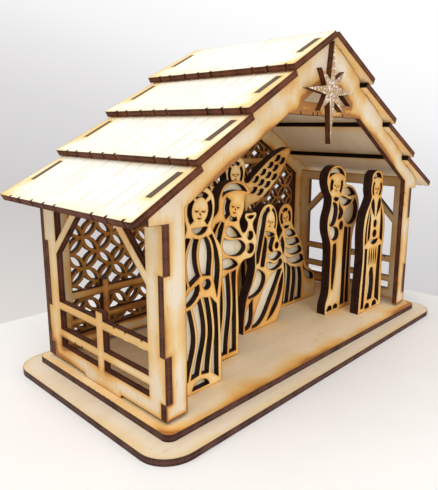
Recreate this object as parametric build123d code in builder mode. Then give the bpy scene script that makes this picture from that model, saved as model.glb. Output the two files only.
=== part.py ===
from build123d import *
import math
import os

os.makedirs("parts", exist_ok=True)

# A nativity stable cut from plywood sheet. The front faces -Y, +X is to the right
# and the origin is under the middle of the base plate.

# Sheet and fits
sheet = 3.0
fit_clearance = 0.05
seat_gap = 0.05

# Base and floor plates: margins beyond the walls
base_side_margin = 14.3
base_front_margin = 16.6
base_back_margin = 13.2
base_corner = 14.0
floor_side_margin = 4.3
floor_end_margin = 6.5
floor_corner = 4.0

# Walls: outside sizes, the gap under them and the tabs into the floor
stable_width = 202.8
stable_depth = 91.8
wall_lift = 1.3
wall_height = 79.3
floor_tab = 30.0

# Corner fingers: heights above the floor where frame and wall change over
low_finger = 8.4
middle_finger = 27.9
high_finger = 60.0

# Front and back portals: each rise is counted from the size before it
leg_width = 10.6
haunch_rise = 5.3
collar_rise = 36.5
collar_width = 60.6
eave_reach = 5.8
gable_window_width = 40.6
gable_window_rise = 6.0
gable_window_height = 12.8
tie_rise = 7.7
tie_depth = 4.0

# Side walls and fences
side_post = 10.7
fence_top = 31.4
fence_middle = 17.5
fence_rail = 4.0
fence_foot = 8.5
fence_post = 5.4
fence_post_rise = 3.7
top_rail = 6.6
top_rail_gap = 2.3
brace_leg = 24.7
brace_width = 4.0
back_post_offset = 72.0
back_post_width = 4.0

# Small nicks that make the timber look worn
nick_width = 0.6
nick_depth = 1.4
collar_nicks = (-21.9, -12.3, -8.8, 13.5)
top_rail_nicks = (14.8, 26.3, 34.5)
low_rail_nicks = (62.0, 68.2)
leg_nick_drops = (15.1, 7.6)

# Roof planks: the lowest row's outer edge is counted from the wall's top corner
plank_rows = 4
plank_tilt = 29.3
plank_lap = 4.9
lap_gap = 0.56
ridge_gap = 3.0
eave_overhang = 16.5
eave_edge_rise = 3.45
row_run = 27.6
roof_front_overhang = 5.9
roof_back_overhang = 6.3
plank_end_inset = 2.2
plank_corner = 1.2
step_room = 0.8
tab_start = 13.9
tab_length = 16.3
tab_root = 1.5
notch_width = 1.1
notch_depth = 1.1
notch_places = (-0.6, 10.0, 19.2, 46.8, 56.1, 66.6, 78.5, 87.0)

# Lattice of overlapping circles
lattice_radius = 8.2
lattice_line = 1.75
lattice_base = 1.0
lattice_margin = 0.5
lattice_crumb = 1.5

# Star
star_offset = -1.2
star_rise = 12.0
star_top_reach = 22.8
star_bottom_reach = 25.2
star_side_reach = 20.1
star_diagonal_reach = 13.7
star_valley = 5.4

# Figures: heights, places from the middle, and distances behind the front face
bearer_height = 90.9
visitor_height = 89.9
mother_height = 73.2
father_height = 69.2
angel_height = 103.6
turbaned_height = 94.2
crowned_height = 91.5
bearer_place = (-74.0, 11.0)
visitor_place = (-48.6, 25.1)
mother_place = (0.6, 40.5)
father_place = (49.6, 54.0)
angel_place = (2.4, 65.5)
turbaned_place = (57.8, 25.1)
crowned_place = (72.9, 10.0)
figure_breadth = 1.065
figure_tab = 10.0
fold_web = 1.45
curve_corner = 0.3

# Places worked out from the sizes above
floor_top = 2 * sheet
half_width = stable_width / 2
base_width = stable_width + 2 * base_side_margin
base_depth = base_front_margin + stable_depth + base_back_margin
front_face = base_front_margin - base_depth / 2
back_face = front_face + stable_depth
middle_y = (front_face + back_face) / 2
floor_width = stable_width + 2 * floor_side_margin
floor_depth = stable_depth + 2 * floor_end_margin
wall_foot = floor_top + wall_lift
wall_top = floor_top + wall_height
haunch_height = wall_height + haunch_rise
collar_height = haunch_height + collar_rise
tie_height = haunch_height + tie_rise
finger_heights = [floor_top + h for h in (low_finger, middle_finger, high_finger)]
tilt_cos = math.cos(math.radians(plank_tilt))
tilt_sin = math.sin(math.radians(plank_tilt))
tilt_tan = math.tan(math.radians(plank_tilt))
row_drop = row_run * tilt_tan + (sheet + lap_gap) / tilt_cos


def finish(piece, name):
    piece.part.label = name
    export_step(piece.part, f"parts/{name}.step")


def upright_plane(y):
    return Plane.XZ.offset(-y)


# Roof rows, worked out on the right-hand side and mirrored to the left

def plank_edge(row):
    # the upper corner of a plank's lower edge
    rows_below = plank_rows - 1 - row
    reach = half_width + eave_overhang - rows_below * row_run
    height = wall_top + eave_edge_rise + rows_below * row_drop
    return reach, height


def plank_run(row):
    # the top row reaches the ridge, the others tuck under the row above
    if row == 0:
        return (plank_edge(row)[0] - ridge_gap / 2) / tilt_cos
    return row_run / tilt_cos + plank_lap


def underside(row, x):
    reach, height = plank_edge(row)
    return height - (sheet + seat_gap) / tilt_cos + (reach - x) * tilt_tan


def plank_upper_corner(row):
    # how near the middle the plank's upper end comes
    return plank_edge(row)[0] - plank_run(row) * tilt_cos - sheet * tilt_sin


def roof_edge_points():
    # the gable's stepped edge from the ridge to the eave, right-hand side
    points = [(0, underside(0, 0))]
    for row in range(plank_rows - 1):
        step = plank_upper_corner(row + 1) - step_room
        points += [(step, underside(row, step)), (step, underside(row + 1, step))]
    tip = half_width + eave_reach
    points += [(tip, underside(plank_rows - 1, tip)), (tip, wall_top)]
    return points


def portal_points():
    # outer edge with corner fingers, then the opening, right-hand side from the ridge
    low, middle, high = finger_heights
    notch = half_width - sheet - fit_clearance
    points = roof_edge_points()
    points += [(notch, wall_top), (notch, high), (half_width, high), (half_width, middle)]
    points += [(notch, middle), (notch, low), (half_width, low), (half_width, wall_foot)]
    points += [(half_width - leg_width, wall_foot)]
    points += [(half_width - leg_width, floor_top + haunch_height)]
    points += [(collar_width / 2, floor_top + collar_height)]
    return points


def portal_outline():
    right = portal_points()
    left = [(-x, z) for x, z in reversed(right)]
    with BuildLine() as outline:
        Polyline(*right, *left[:-1], close=True)
    return outline.line


def roof_tab_places():
    # middle of each tab, its slope and its height through the plank
    places = []
    depth = sheet + tab_root
    for row in range(plank_rows):
        reach, height = plank_edge(row)
        along = tab_start + tab_length / 2
        x = reach - along * tilt_cos - depth / 2 * tilt_sin
        z = height + along * tilt_sin - depth / 2 * tilt_cos
        places += [((x, z), -plank_tilt), ((-x, z), plank_tilt)]
    return places


def add_roof_tabs():
    for place, slope in roof_tab_places():
        with Locations(place):
            Rectangle(tab_length, sheet + tab_root, rotation=slope)


# Base plate and floor plate

with BuildPart() as base_plate:
    with BuildSketch():
        RectangleRounded(base_width, base_depth, base_corner)
    extrude(amount=sheet)
finish(base_plate, "base_plate")

figure_places = [bearer_place, visitor_place, mother_place, father_place]
figure_places += [angel_place, turbaned_place, crowned_place]

with BuildPart() as floor_plate:
    with BuildSketch(Plane.XY.offset(sheet)):
        with Locations((0, middle_y)):
            RectangleRounded(floor_width, floor_depth, floor_corner)
        slot_width = sheet + 2 * fit_clearance
        slot_length = floor_tab + 2 * fit_clearance
        with Locations((half_width - sheet / 2, middle_y), (sheet / 2 - half_width, middle_y)):
            Rectangle(slot_width, slot_length, mode=Mode.SUBTRACT)
        with Locations((0, back_face - sheet / 2)):
            Rectangle(slot_length, slot_width, mode=Mode.SUBTRACT)
        with Locations(*[(x, front_face + y + sheet * 1.5) for x, y in figure_places]):
            Rectangle(figure_tab + 2 * fit_clearance, slot_width, mode=Mode.SUBTRACT)
    extrude(amount=sheet)
finish(floor_plate, "floor_plate")


# Front frame with the gable window

with BuildPart() as front_frame:
    with BuildSketch(upright_plane(front_face)):
        make_face(portal_outline().edges())
        add_roof_tabs()
        sill = floor_top + collar_height + gable_window_rise
        with BuildLine():
            Polyline(
                (-gable_window_width / 2, sill),
                (gable_window_width / 2, sill),
                (0, sill + gable_window_height),
                close=True,
            )
        make_face(mode=Mode.SUBTRACT)
        with Locations(*[(x, floor_top + collar_height) for x in collar_nicks]):
            Rectangle(nick_width, 2 * nick_depth, mode=Mode.SUBTRACT)
        with Locations(*[(half_width - leg_width, floor_top + haunch_height - z) for z in leg_nick_drops]):
            Rectangle(nick_depth, nick_width, mode=Mode.SUBTRACT)
    extrude(amount=-sheet)
finish(front_frame, "front_frame")


# Back frame: the same portal with a tie beam and a fence

def haunch_reach(height):
    # half the opening's width at a height above the floor
    rise = (collar_width / 2 - half_width + leg_width) / collar_rise
    return half_width - leg_width + max(0, height - haunch_height) * rise


def fence_rails():
    # lower edge and depth of each rail, above the floor
    return (
        (wall_lift, fence_foot - wall_lift),
        (fence_middle - fence_rail, fence_rail),
        (fence_top - fence_rail, fence_rail),
    )


with BuildPart() as back_frame:
    with BuildSketch(upright_plane(back_face)):
        make_face(portal_outline().edges())
        add_roof_tabs()
        inside = stable_width - 2 * leg_width
        for height, depth in fence_rails():
            with Locations((0, floor_top + height + depth / 2)):
                Rectangle(inside, depth)
        post_height = fence_top + fence_post_rise - wall_lift
        with Locations(*[(x, wall_foot + post_height / 2) for x in (-back_post_offset, 0, back_post_offset)]):
            Rectangle(back_post_width, post_height)
        tie_low, tie_high = haunch_reach(tie_height), haunch_reach(tie_height + tie_depth)
        with BuildLine():
            Polyline(
                (-tie_low, floor_top + tie_height),
                (tie_low, floor_top + tie_height),
                (tie_high, floor_top + tie_height + tie_depth),
                (-tie_high, floor_top + tie_height + tie_depth),
                close=True,
            )
        make_face()
        with Locations((0, sheet + (wall_lift + sheet) / 2)):
            Rectangle(floor_tab, wall_lift + sheet)
    extrude(amount=sheet)
finish(back_frame, "back_frame")


# Lattice panel behind the back frame

def petal():
    # opening between two neighbouring circles, lying along X
    inner = lattice_radius - lattice_line / 2
    half_gap = lattice_radius / math.sqrt(2)
    tip = math.sqrt(inner**2 - half_gap**2)
    with BuildSketch() as shape:
        with BuildLine():
            ThreePointArc((-tip, 0), (0, inner - half_gap), (tip, 0))
            ThreePointArc((-tip, 0), (0, half_gap - inner), (tip, 0))
        make_face()
    return shape.sketch


def concave_square():
    # opening left between four circles, with its corners along X and Z
    outer = lattice_radius + lattice_line / 2
    corner = lattice_radius - math.sqrt(outer**2 - lattice_radius**2)
    belly = lattice_radius - outer / math.sqrt(2)
    corners = [(corner, 0), (0, corner), (-corner, 0), (0, -corner)]
    with BuildSketch() as shape:
        with BuildLine():
            for turn in range(4):
                middle = Vector(belly, belly).rotate(Axis.Z, 90 * turn)
                ThreePointArc(corners[turn], (middle.X, middle.Y), corners[(turn + 1) % 4])
        make_face()
    return shape.sketch


def lattice_places():
    # squares and petals all over the back frame's opening and a little beyond it
    squares, rising, falling = [], [], []
    reach = lattice_radius / 2
    columns = int(half_width / lattice_radius) + 1
    rows = int(collar_height / lattice_radius) + 1
    for column in range(-columns, columns + 1):
        for row in range(rows + 1):
            x = column * lattice_radius
            z = floor_top + lattice_base + row * lattice_radius
            even = (column + row) % 2 == 0
            if even:
                squares.append((x, z))
            (falling if even else rising).append((x + reach, z + reach))
    return squares, rising, falling


def lattice_field():
    # the back frame's opening, drawn in by a small margin
    side = half_width - leg_width
    right = [
        (side, floor_top + fence_foot),
        (side, floor_top + haunch_height),
        (collar_width / 2, floor_top + collar_height),
    ]
    with BuildSketch() as field:
        Polygon(*right, *[(-x, z) for x, z in reversed(right)], align=None)
        offset(amount=-lattice_margin, kind=Kind.INTERSECTION, mode=Mode.REPLACE)
    return field.sketch


def lattice_openings():
    # openings cut off at the edge of the field, without the smallest crumbs
    squares, rising, falling = lattice_places()
    with BuildSketch() as openings:
        with Locations(*squares):
            add(concave_square())
        with Locations(*rising):
            add(petal(), rotation=45)
        with Locations(*falling):
            add(petal(), rotation=-45)
        add(lattice_field(), mode=Mode.INTERSECT)
    return [face for face in openings.faces() if face.area > lattice_crumb]


with BuildPart() as back_lattice:
    with BuildSketch(upright_plane(back_face)):
        edge = roof_edge_points() + [(half_width, wall_top), (half_width, wall_foot)]
        with BuildLine():
            Polyline(*edge, *[(-x, z) for x, z in reversed(edge)][:-1], close=True)
        make_face()
        add(lattice_openings(), mode=Mode.SUBTRACT)
    extrude(amount=-sheet)
finish(back_lattice, "back_lattice")


# Side walls, drawn with distance from the front face along X of the sketch. Between the
# frames their top rail rises under the lowest plank.

rail_top = underside(plank_rows - 1, half_width) - top_rail_gap
window_top = rail_top - top_rail


def wall_edge_points():
    # fingers of the front end from the foot to the top
    low, middle, high = finger_heights
    inset = sheet + fit_clearance
    return [
        (inset, wall_foot),
        (inset, low + fit_clearance),
        (0, low + fit_clearance),
        (0, middle - fit_clearance),
        (inset, middle - fit_clearance),
        (inset, high + fit_clearance),
        (0, high + fit_clearance),
        (0, wall_top - fit_clearance),
        (inset, wall_top - fit_clearance),
        (inset, rail_top),
    ]


def add_brace(corner_x, direction):
    # knee brace across an upper corner of the window
    across = brace_width * math.sqrt(2)
    Polygon(
        (corner_x, window_top - brace_leg),
        (corner_x + direction * brace_leg, window_top),
        (corner_x + direction * (brace_leg - across), window_top),
        (corner_x, window_top - brace_leg + across),
        align=None,
    )


def side_wall(x):
    front_edge = wall_edge_points()
    back_edge = [(stable_depth - y, z) for y, z in reversed(front_edge)]
    window = stable_depth - 2 * side_post
    with BuildPart() as wall:
        with BuildSketch(Plane.YZ.offset(x).shift_origin((x, front_face, 0))):
            with BuildLine():
                Polyline(*front_edge, *back_edge, close=True)
            make_face()
            sill = floor_top + fence_foot
            opening = window_top - sill
            with Locations((stable_depth / 2, sill + opening / 2)):
                Rectangle(window, opening, mode=Mode.SUBTRACT)
            for height, depth in fence_rails():
                with Locations((stable_depth / 2, floor_top + height + depth / 2)):
                    Rectangle(window, depth)
            post_height = fence_top + fence_post_rise - wall_lift
            with Locations((stable_depth / 2, wall_foot + post_height / 2)):
                Rectangle(fence_post, post_height)
            add_brace(side_post, 1)
            add_brace(stable_depth - side_post, -1)
            rail_edges = [(y, floor_top + fence_top) for y in top_rail_nicks]
            rail_edges += [(y, floor_top + fence_middle - fence_rail) for y in low_rail_nicks]
            with Locations(*rail_edges):
                Rectangle(nick_width, nick_depth, mode=Mode.SUBTRACT)
            with Locations((stable_depth / 2, sheet + (wall_lift + sheet) / 2)):
                Rectangle(floor_tab, wall_lift + sheet)
        extrude(amount=sheet)
    return wall


finish(side_wall(-half_width), "left_wall")
finish(side_wall(half_width - sheet), "right_wall")


# Roof planks

def roof_plank(row, side):
    # side is 1 on the right and -1 on the left; the sketch lies on the plank's top face
    reach, height = plank_edge(row)
    face = Plane(
        origin=(side * reach, 0, height),
        x_dir=(-side * tilt_cos, 0, tilt_sin),
        z_dir=(side * tilt_sin, 0, tilt_cos),
    )
    front = front_face - roof_front_overhang
    back = back_face + roof_back_overhang
    run = plank_run(row)
    corners = [(0, front), (0, back), (run, back - plank_end_inset), (run, front + plank_end_inset)]
    slot = (tab_length + 2 * fit_clearance, sheet + 2 * fit_clearance)
    with BuildPart() as plank:
        with BuildSketch(face) as outline:
            with BuildLine():
                Polyline(*[(u, -side * y) for u, y in corners], close=True)
            make_face()
            fillet(outline.vertices().sort_by(Axis.X)[:2], plank_corner)
            with Locations(*[(0, -side * (front_face + y)) for y in notch_places]):
                Rectangle(2 * notch_depth, notch_width, mode=Mode.SUBTRACT)
            middle = tab_start + tab_length / 2
            frames = (front_face + sheet / 2, back_face - sheet / 2)
            with Locations(*[(middle, -side * y) for y in frames]):
                Rectangle(*slot, mode=Mode.SUBTRACT)
        extrude(amount=-sheet)
    return plank


for row in range(plank_rows):
    finish(roof_plank(row, -1), f"roof_plank_left_{row + 1}")
    finish(roof_plank(row, 1), f"roof_plank_right_{row + 1}")


# Star on the gable

with BuildPart() as star:
    with BuildSketch(upright_plane(front_face)):
        reaches = [star_side_reach, star_diagonal_reach, star_top_reach, star_diagonal_reach]
        reaches += [star_side_reach, star_diagonal_reach, star_bottom_reach, star_diagonal_reach]
        points = []
        for point, reach in enumerate(reaches):
            tip = math.radians(45 * point)
            valley = math.radians(45 * point + 22.5)
            points.append((reach * math.cos(tip), reach * math.sin(tip)))
            points.append((star_valley * math.cos(valley), star_valley * math.sin(valley)))
        with Locations((star_offset, floor_top + collar_height + star_rise)):
            Polygon(*points, align=None)
    extrude(amount=sheet)
finish(star, "star")


# Figures, each of two glued layers: a front with openings cut in it and a plain backing.
# Outlines run from the right of the foot over the head to the left of the foot. All
# figures are drawn in hundredths of their own height, with their foot's middle at 0, 0.
# An opening is a list of curves, each from its own first point to the next one's.
# A ring is the middle and the two half-widths of an oval opening.

def leaf(down, back):
    # an opening with two pointed ends: down one side and back up the other
    return [down[:-1], [down[-1], *back]]


def band(left, right):
    # an opening with straight ends between two sides, both given from their top
    return [left[:-1], [left[-1]], right[:0:-1], [right[0]]]


def turned(points, centre, tilt):
    cos, sin = math.cos(math.radians(tilt)), math.sin(math.radians(tilt))
    x, z = centre
    return [
        (x + (px - x) * cos - (pz - z) * sin, z + (px - x) * sin + (pz - z) * cos) for px, pz in points
    ]


def face_openings(x, chin, head, tilt=0):
    # closed lids half-way up the head, then nose and mouth, all as fine slits
    centre = (x, chin + 0.5 * head)
    lid = chin + 0.49 * head
    mouth = chin + 0.2 * head
    slits = []
    for eye in (x - 0.165 * head, x + 0.165 * head):
        lower = [(eye - 0.09 * head, lid), (eye, lid - 0.06 * head), (eye + 0.09 * head, lid)]
        slits.append(leaf(lower, [(eye, lid - 0.02 * head)]))
    bridge, tip = (x, chin + 0.42 * head), (x + 0.055 * head, chin + 0.31 * head)
    left, right = (x - 0.005 * head, chin + 0.36 * head), (x + 0.032 * head, chin + 0.37 * head)
    slits.append(leaf([bridge, left, tip], [right]))
    lower = [(x - 0.09 * head, mouth), (x, mouth - 0.04 * head), (x + 0.09 * head, mouth)]
    slits.append(leaf(lower, [(x, mouth - 0.004 * head)]))
    return [[turned(curve, centre, tilt) for curve in slit] for slit in slits]


def ring_part(x, chin, head, widen, start, end, tilt=0):
    # a piece of the ring between the face and its hair or hood, from one angle to another
    centre = (x, chin + 0.5 * head)
    sides = []
    for extra in (0, widen):
        wide, high = 0.4 * head + extra, 0.53 * head + extra
        steps = [math.radians(start + (end - start) * k / 4) for k in range(5)]
        arc = [(x + wide * math.cos(a), centre[1] + high * math.sin(a)) for a in steps]
        sides.append(turned(arc, centre, tilt))
    return band(*sides)


def fold_openings(webs, tops, feet):
    # openings between neighbouring webs; a web says where it runs at even steps from its top to its foot
    lines = []
    for web, top, foot in zip(webs, tops, feet):
        fall = (foot - top) / (len(web) - 1)
        lines.append([(place, top + fall * step) for step, place in enumerate(web)])
    openings = []
    for left, right in zip(lines, lines[1:]):
        left_side = [(x + fold_web / 2, z) for x, z in left]
        right_side = [(x - fold_web / 2, z) for x, z in right]
        openings.append(band(left_side, right_side))
    return openings


def figure_places_of(points, unit, x):
    return [Vector(x + px * unit * figure_breadth, floor_top + pz * unit) for px, pz in points]


def opening_edges(opening, unit, x):
    with BuildLine() as edge:
        for curve, after in zip(opening, opening[1:] + opening[:1]):
            places = figure_places_of([*curve, after[0]], unit, x)
            if len(places) > 2:
                Spline(*places)
            else:
                Line(*places)
    return edge.line.edges()


def heading(places, index):
    # direction of the outline at one of its points, from its neighbours
    after = places[min(index + 1, len(places) - 1)]
    before = places[max(index - 1, 0)]
    return after - before


def outline_edges(points, unit, x):
    # short curves that meet at hardly any angle, so each stays a face of its own, and a straight foot
    places = figure_places_of(points, unit, x)
    with BuildLine() as edge:
        for first in range(0, len(places) - 1, 2):
            last = min(first + 2, len(places) - 1)
            leaving = heading(places, first).rotate(Axis.Z, curve_corner)
            arriving = heading(places, last).rotate(Axis.Z, -curve_corner)
            Spline(*places[first : last + 1], tangents=(leaving, arriving))
        Line(places[-1], places[0])
    return edge.line.edges()


def figure(name, place, height, outline, openings, rings=()):
    unit = height / 100
    x, distance = place
    front = front_face + distance
    with BuildPart() as front_layer:
        with BuildSketch(upright_plane(front)):
            make_face(outline_edges(outline, unit, x))
            for opening in openings:
                make_face(opening_edges(opening, unit, x), mode=Mode.SUBTRACT)
            for ring_x, ring_z, wide, high in rings:
                with Locations(*figure_places_of([(ring_x, ring_z)], unit, x)):
                    Ellipse(wide * unit * figure_breadth, high * unit, mode=Mode.SUBTRACT)
        extrude(amount=-sheet)
    finish(front_layer, f"{name}_front")
    with BuildPart() as backing:
        with BuildSketch(upright_plane(front + sheet)):
            make_face(outline_edges(outline, unit, x))
            with Locations((x, floor_top)):
                Rectangle(figure_tab, 2 * sheet)
        extrude(amount=-sheet)
    finish(backing, f"{name}_backing")


def make_left_bearer():
    outline = [
        (13.2, 0), (12.8, 20), (12, 38), (12.8, 50), (13.8, 61), (12.6, 70), (9, 76), (7, 80.5),
        (8.4, 86), (8.8, 91), (6.8, 97), (0, 100), (-6.8, 97), (-8.8, 91), (-8.2, 86), (-7.2, 80.5),
        (-9.4, 76), (-13, 70), (-14.4, 61), (-13.6, 49), (-12.6, 38), (-13.6, 20), (-14.4, 0),
    ]
    openings = face_openings(0.4, 82.8, 11.6, -7)
    for start, end in ((-48, 38), (56, 124), (140, 228)):
        openings.append(ring_part(0.4, 82.8, 11.6, 2.4, start, end, -7))
    openings += [
        leaf([(-4.2, 80.6), (-2.4, 78.2), (0.2, 77.4), (2.8, 78.2), (4.6, 80.6)],
             [(2.2, 80.8), (0.2, 80.6), (-2, 80.8)]),
        leaf([(-10, 45.6), (-7.8, 49.4), (-4.6, 52.2), (-0.6, 54)],
             [(-0.6, 50.4), (-2.8, 47), (-6.2, 44.8)]),
    ]
    webs = [(-8, -11.8, -13, -12.4, -11.6), (-4.4, -7, -8, -7.6, -6.4), (0.2, -1, -1.2, -0.6, 0.8),
            (4.6, 7, 7.6, 7.2, 6.8), (7.8, 11, 12.4, 12, 10.8)]
    openings += fold_openings(webs, (77, 76.2, 75.4, 76.2, 77), (47.6, 53.8, 57.8, 57, 45.4))
    webs = [(-12, -12.4, -12.6, -12.8, -12.9), (-5, -3, -2.4, -4.4, -6.6), (0.8, 3, 3.6, 1.6, -0.4),
            (5.4, 7.2, 7.8, 6.6, 5.6), (10.6, 11.4, 11.7, 11.7, 11.8)]
    openings += fold_openings(webs, (41.6, 43, 47, 46.4, 42), (3.2, 7.6, 8.4, 7.6, 3.2))
    openings += [leaf([(-5.2, 1.6), (-3.2, 4.8), (0, 5.8), (3.2, 4.8), (5.2, 1.6)], [(0, 1.6)])]
    rings = [(4, 53, 2.3, 2.6)]
    figure("left_bearer", bearer_place, bearer_height, outline, openings, rings)


make_left_bearer()


def make_left_visitor():
    outline = [
        (13.6, 0), (13.4, 20), (12.4, 40), (13, 50), (16.6, 55), (22.4, 55.8), (26.4, 60.4),
        (26.8, 67), (24.2, 72.4), (23.9, 76), (26.2, 80.8), (21.9, 81.4), (17.6, 80.8), (19.6, 76),
        (19, 72.6), (16.4, 71), (14.2, 74.4), (13.6, 78), (15.6, 81.6), (17, 86), (17.4, 90.6),
        (21.2, 92.4), (20.4, 95.4), (15.4, 98.8), (9.4, 100), (2.6, 97.8), (-0.8, 92), (-1.6, 85),
        (-7.4, 79.4), (-12.6, 70), (-13.4, 58), (-12, 42), (-13.8, 20), (-14.4, 0),
    ]
    openings = face_openings(10.6, 80.6, 11.2, -14)
    openings.append(ring_part(10.6, 80.6, 11.2, 3.8, 156, 232, -14))
    openings.append(ring_part(10.6, 80.6, 11.2, 2.2, 244, 296, -14))
    openings += [
        leaf([(1.2, 92.2), (6, 94.4), (12, 94.9), (18.8, 93.6)],
             [(15.4, 97.2), (9.6, 98.7), (3.6, 96.8)]),
        leaf([(4.6, 75.8), (4.6, 71.6), (9, 69.2), (15.2, 68.6)], [(12.4, 72.4), (8.8, 75.2)]),
        leaf([(2.6, 69.8), (2.4, 63.2), (7, 59.6), (15, 59)], [(18, 63.4), (14, 67.2), (8.4, 67.9)]),
        leaf([(1.8, 57.9), (1.6, 53.8), (6, 52), (12.4, 53.6)], [(8.8, 57.3), (4.8, 58.3)]),
        leaf([(19.2, 79.5), (21.9, 78.1), (24.6, 79.5)], [(21.9, 80.1)]),
    ]
    webs = [(-3.8, -8, -11, -12.2, -11.8, -10.8), (0.2, -3.4, -5.6, -6.4, -6, -5),
            (3.2, 1.8, 0.6, 0.2, 0, 0.4)]
    openings += fold_openings(webs, (78.2, 79, 78), (45, 46.6, 50))
    webs = [(-11, -11.8, -12.3, -12.6, -12.9), (-4.8, -4, -4.6, -6, -7.2), (0.8, 2.2, 2, 0.4, -0.8),
            (6.6, 7.8, 7.8, 6.4, 5.6), (11.8, 11.6, 12, 12.1, 12.2)]
    openings += fold_openings(webs, (42.6, 44.2, 47.8, 50, 51), (3.2, 3.2, 3.2, 3.2, 3.2))
    rings = [(21.9, 61.2, 2.8, 3), (21.7, 68.6, 2.3, 2.6)]
    figure("left_visitor", visitor_place, visitor_height, outline, openings, rings)


make_left_visitor()


def make_kneeling_mother():
    outline = [
        (16.6, 0), (21, 9), (24, 23), (25, 36), (23.4, 50), (20.8, 62), (16, 71.6), (14, 78),
        (14.8, 86), (12.2, 95), (5, 100), (-2.6, 97), (-7, 88), (-9, 76), (-10, 64), (-9.6, 52),
        (-12.4, 41), (-18, 29), (-20.8, 13), (-21.6, 0),
    ]
    openings = face_openings(7, 80, 12, -14)
    openings += [
        band([(4.6, 97.9), (-1.6, 94), (-5.8, 84), (-7.6, 74), (-8.3, 64), (-8, 54)],
             [(6, 94.6), (2.4, 91), (1.2, 85), (-0.6, 77), (-3, 66), (-5.6, 55)]),
        band([(8.2, 94.6), (11, 91), (12, 86), (11, 80.6)],
             [(9, 96.8), (12.2, 92.6), (13.3, 86), (12.4, 79.8)]),
        leaf([(2.1, 78.8), (2.8, 75.8), (5.8, 74), (12, 74.8)], [(7.4, 77.2), (4.4, 78)]),
        band([(0.6, 75), (-0.9, 67), (-2.8, 59), (-3.4, 51)],
             [(2.6, 73), (3, 66), (1.7, 57), (0.6, 50.4)]),
        leaf([(4.4, 72), (4.9, 65.4), (7, 62), (10.8, 61.4)], [(9.6, 66), (11.8, 71.8)]),
        leaf([(4, 60), (7.2, 55.4), (13, 53.4), (20.6, 57.4)], [(15.8, 60.6), (9.6, 59.8)]),
        leaf([(3, 51.6), (7.8, 46.4), (14.4, 45.6), (21.8, 49.8)], [(19, 53.7), (12.8, 50.4), (7, 52.9)]),
        leaf([(-7.4, 50), (-9.4, 42.8), (-13.8, 35), (-16.8, 28.4)],
             [(-9.4, 28.4), (0.2, 34.8), (1.6, 43.4), (-2.6, 47.8)]),
        leaf([(21.4, 44.8), (10.6, 42.8), (-0.4, 30.6), (-8, 15.6), (-12.2, 2.6)],
             [(-2, 5), (7.6, 18.6), (15.4, 32.6)]),
        leaf([(-11.4, 26.6), (-17.4, 19.6), (-19.5, 10), (-19.2, 2.6)], [(-14.6, 4.4), (-11.6, 15)]),
        leaf([(22.9, 42.4), (17.6, 31), (12.6, 19), (4.4, 4)], [(13.8, 10.4), (20.4, 22), (23.2, 33)]),
    ]
    rings = [(14.6, 65.6, 2.2, 2.8)]
    figure("kneeling_mother", mother_place, mother_height, outline, openings, rings)


make_kneeling_mother()


def make_kneeling_father():
    outline = [
        (32, 0), (30.8, 13), (27, 25.6), (19.6, 32), (13.2, 41), (8.8, 54), (2.8, 66), (-4.4, 75),
        (-8.2, 81), (-8.2, 88), (-10, 96), (-17, 100), (-25, 96.4), (-27, 88), (-24.6, 80.4),
        (-22, 76), (-26.6, 67), (-28.6, 56), (-25, 46), (-23, 30), (-25.6, 13), (-26.4, 0),
    ]
    openings = face_openings(-17.6, 81.4, 11.6, 9)
    for start, end in ((-40, 40), (58, 122), (140, 218)):
        openings.append(ring_part(-17.6, 81.4, 11.6, 2.6, start, end, 9))
    openings += [
        leaf([(-20.6, 79.4), (-18.4, 77), (-15, 76.8), (-12.4, 79)], [(-16.4, 79.4)]),
        leaf([(-17.2, 74.6), (-15.4, 69.8), (-8.6, 68), (-2.4, 69)], [(-6.4, 73.6), (-11.4, 75.4)]),
        leaf([(-16.2, 67.2), (-13.4, 61), (-5.4, 59), (3.2, 60.4)], [(-0.2, 65.6), (-7.4, 66)]),
        leaf([(-16.2, 58.6), (-12, 52), (-2.4, 49.4), (7, 51.2)], [(4.4, 56.6), (-5, 57)]),
        leaf([(-15.4, 49.6), (-10, 42.8), (0, 39.8), (10.4, 41.6)], [(7.6, 47.4), (-3, 47.6)]),
        leaf([(-21.8, 70.2), (-24.8, 64), (-26, 56), (-22.4, 48.8)], [(-18.8, 55), (-18.9, 64)]),
        leaf([(10, 38.8), (12.2, 28.4), (18.6, 21.2), (27, 19.4)], [(24, 26), (17.4, 29.4)]),
    ]
    webs = [(-21.3, -21.5, -22.4, -23.6, -24.6), (-15.6, -15.6, -16, -17, -18), (-8.4, -8, -8.6, -9.6, -10.6),
            (-1.4, -0.4, -0.6, -1.8, -2.6), (6.6, 8.4, 9, 8.8, 8.4)]
    openings += fold_openings(webs, (44.6, 43.4, 38.6, 36.4, 35.2), (3, 3, 3, 3, 3))
    figure("kneeling_father", father_place, father_height, outline, openings)


make_kneeling_father()


def feather_openings():
    # rows of pointed feathers along the right wing, staggered and shorter towards its tip
    turn = math.radians(34.5)
    along, across = (math.cos(turn), math.sin(turn)), (-math.sin(turn), math.cos(turn))
    openings = []
    for row, (count, start) in enumerate(((3, 6.2), (5, 2.6), (4, 7.4))):
        for feather in range(count):
            middle = start + 7.4 * feather
            offset = 4.3 * (row - 1) * (1.05 - 0.005 * middle) + 0.2
            points = []
            for run, rise in ((-3.1, 0.3), (-1.4, 1.4), (0.8, 1.5), (3.1, -0.3), (1.4, -1.4), (-0.8, -1.5)):
                s, t = middle + run, offset + rise
                points.append((12.8 + s * along[0] + t * across[0], 73.7 + s * along[1] + t * across[1]))
            openings.append(leaf(points[:4], points[4:]))
    return openings


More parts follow.
